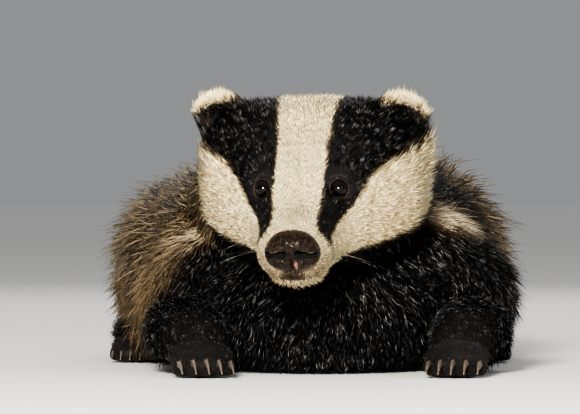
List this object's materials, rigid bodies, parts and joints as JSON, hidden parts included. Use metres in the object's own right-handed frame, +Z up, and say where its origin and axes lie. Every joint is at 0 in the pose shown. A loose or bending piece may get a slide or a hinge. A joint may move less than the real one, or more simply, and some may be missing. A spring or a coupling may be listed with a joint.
{
  "type": "european badger",
  "caption": "Life-size still European badger lying on its belly with its head up and forelegs stretched out in front.",
  "frame": {"origin": "on the floor under the middle of the belly, on the belly's flat", "axes": "+Z up, -Y the way the animal faces, +X to the animal's own left"},
  "size_m": [0.2781, 0.7716, 0.1805],
  "materials": {
    "coat_grey": "coarse grizzled coat",
    "coat_black": "short black coat",
    "coat_white": "short cream face coat with black bands",
    "nose_skin": "moist pebbled skin",
    "eye": "glossy",
    "claw": "worn horn"
  },
  "bodies": {
    "root": {"head": "coat_white", "nose": "nose_skin", "neck": "coat_grey", "chest": "coat_black", "torso": "coat_grey", "tail": "coat_grey", "ear_left": "coat_black", "eye_left": "eye", "upper_foreleg_left": "coat_black", "forearm_left": "coat_black", "haunch_left": "coat_grey", "hind_leg_left": "coat_black", "fore_paw_left": "coat_black", "hind_paw_left": "coat_black", "fore_claw_left_1": "claw", "fore_claw_left_2": "claw", "fore_claw_left_3": "claw", "fore_claw_left_4": "claw", "fore_claw_left_5": "claw", "hind_claw_left_1": "claw", "hind_claw_left_2": "claw", "hind_claw_left_3": "claw", "hind_claw_left_4": "claw", "hind_claw_left_5": "claw", "ear_right": "coat_black", "eye_right": "eye", "upper_foreleg_right": "coat_black", "forearm_right": "coat_black", "haunch_right": "coat_grey", "hind_leg_right": "coat_black", "fore_paw_right": "coat_black", "hind_paw_right": "coat_black", "fore_claw_right_1": "claw", "fore_claw_right_2": "claw", "fore_claw_right_3": "claw", "fore_claw_right_4": "claw", "fore_claw_right_5": "claw", "hind_claw_right_1": "claw", "hind_claw_right_2": "claw", "hind_claw_right_3": "claw", "hind_claw_right_4": "claw", "hind_claw_right_5": "claw"}
  },
  "joints": []
}
